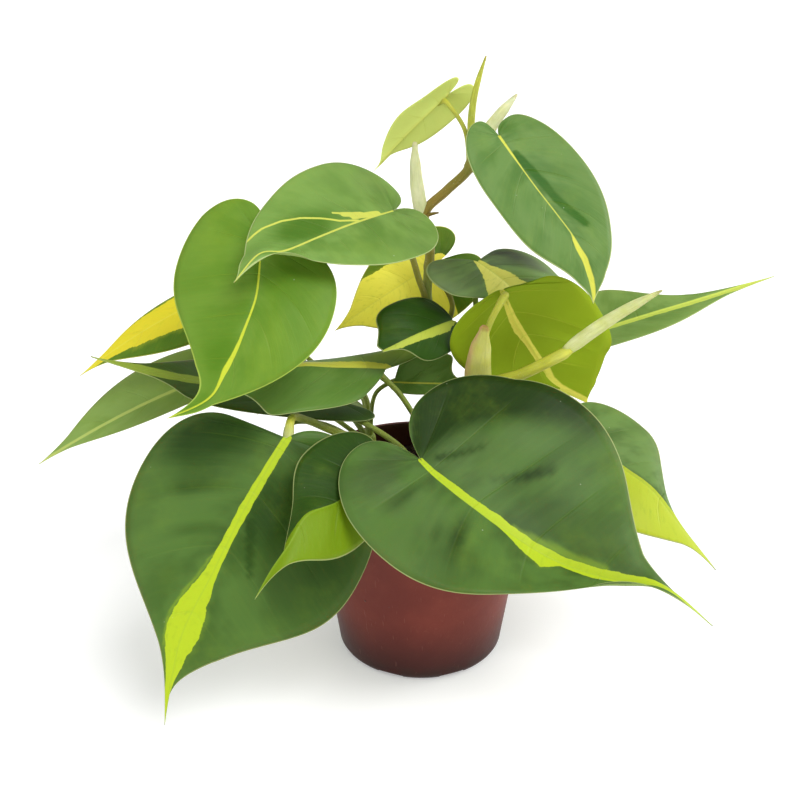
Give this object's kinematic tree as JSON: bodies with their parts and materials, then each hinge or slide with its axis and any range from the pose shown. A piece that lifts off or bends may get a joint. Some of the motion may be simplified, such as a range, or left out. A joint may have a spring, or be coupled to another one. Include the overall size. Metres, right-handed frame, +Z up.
{
  "type": "potted philodendron",
  "caption": "Trailing philodendron with large heart-shaped green leaves, streaked lime and yellow, growing from soil in a tapered plastic nursery pot.",
  "frame": {"origin": "centre of the flat underside of the pot", "axes": "+Z up along the pot's axis, -Y towards the viewer of the picture, +X to the viewer's right"},
  "size_m": [0.3002, 0.1964, 0.236],
  "materials": {
    "pot_plastic": "satin reddish-brown",
    "soil": "loose dark peat crumbs",
    "stem": "smooth green stem",
    "leaf_dark": "dark green, waxy, lime streak along the midrib",
    "leaf_mid": "mid green, waxy, thin yellow midrib",
    "leaf_bright": "bright green, waxy",
    "leaf_yellow": "yellow with green margins, waxy",
    "leaf_young": "pale lime, soft young blade"
  },
  "bodies": {
    "root": {"pot": "pot_plastic", "soil": "soil", "vine_tall": "stem", "vine_right": "stem", "vine_front": "stem", "vine_left": "stem", "vine_back": "stem", "leaf_front_right": "leaf_dark", "leaf_front_left": "leaf_dark", "leaf_front_middle": "leaf_dark", "leaf_low_right": "leaf_dark", "leaf_upper_left": "leaf_bright", "leaf_top_left": "leaf_mid", "leaf_centre_left": "leaf_mid", "leaf_wide_left": "leaf_dark", "leaf_far_left": "leaf_mid", "leaf_back_left": "leaf_yellow", "leaf_crown_young": "leaf_young", "leaf_crown_right": "leaf_mid", "leaf_back_centre": "leaf_yellow", "leaf_small_centre": "leaf_dark", "leaf_centre_right": "leaf_dark", "leaf_bright_right": "leaf_bright", "leaf_far_right": "leaf_mid", "leaf_inner_centre": "leaf_mid", "leaf_rear_left": "leaf_dark", "leaf_rear_middle": "leaf_mid", "leaf_low_left": "leaf_dark"}
  },
  "joints": []
}
